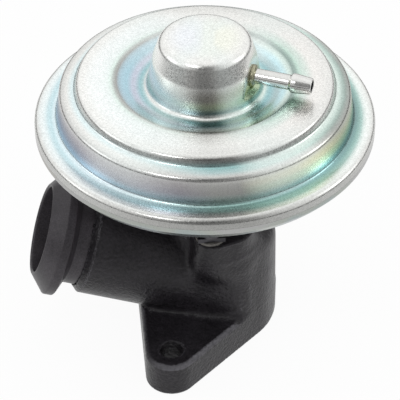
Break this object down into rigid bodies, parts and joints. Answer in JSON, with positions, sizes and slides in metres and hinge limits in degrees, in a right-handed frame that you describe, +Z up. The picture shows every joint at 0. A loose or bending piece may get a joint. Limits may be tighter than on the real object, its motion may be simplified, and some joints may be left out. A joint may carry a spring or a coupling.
{
  "type": "egr valve",
  "caption": "Vacuum-lift exhaust gas recirculation valve: cast flanged body with a tilted clamp inlet, and a poppet lifted by a diaphragm capsule.",
  "frame": {"origin": "centre of the outlet port on the mounting flange's underside", "axes": "+Z up the valve's axis from the outlet to the capsule's dome, the flange bolts along Y, +X towards the vacuum nipple"},
  "size_m": [0.1014, 0.0982, 0.103],
  "materials": {
    "body_casting": "black semi-matt coating over fine cast iron",
    "adapter_paint": "black semi-matt paint over turned steel",
    "heat_steel": "turned stainless steel",
    "guide_bronze": "turned bronze",
    "graphite_seal": "packed graphite",
    "gasket_board": "pressed gasket board",
    "plated_bracket": "zinc plated pressed steel",
    "plated_fastener": "zinc plated steel",
    "plated_shell": "bright zinc plate with a faint iridescent passivation",
    "plated_nipple": "zinc plated turned steel",
    "braze": "brazed ring, satin",
    "plated_inner": "zinc plated pressed steel",
    "spring_wire": "oiled spring steel",
    "diaphragm_rubber": "fabric reinforced rubber"
  },
  "bodies": {
    "housing": {"valve_body": "body_casting", "inlet_adapter": "adapter_paint", "valve_seat": "heat_steel", "stem_guide": "guide_bronze", "stem_seal": "graphite_seal", "seal_retainer": "heat_steel", "bracket_gasket": "gasket_board", "standoff_bracket": "plated_bracket", "lock_washers": "plated_fastener", "bracket_screws": "plated_fastener", "housing_rivets": "plated_fastener", "lower_housing": "plated_shell", "upper_cover": "plated_shell", "vacuum_nipple": "plated_nipple", "nipple_collar": "braze", "spring_seat": "plated_inner", "return_spring": "spring_wire", "diaphragm": "diaphragm_rubber"},
    "valve": {"valve_head": "heat_steel", "valve_stem": "heat_steel", "diaphragm_plate": "plated_inner", "diaphragm_cup": "plated_inner", "spring_locator": "plated_inner", "nut_washer": "plated_fastener", "stem_nut": "plated_fastener"}
  },
  "joints": [
    {"name": "valve_lift", "type": "slide", "parent": "housing", "child": "valve", "axis": [0, 0, 1], "range_m": [0, 0.006], "stiffness_N_per_m": 4200, "springref_m": -0.012, "deforming": ["return_spring", "diaphragm"]}
  ]
}
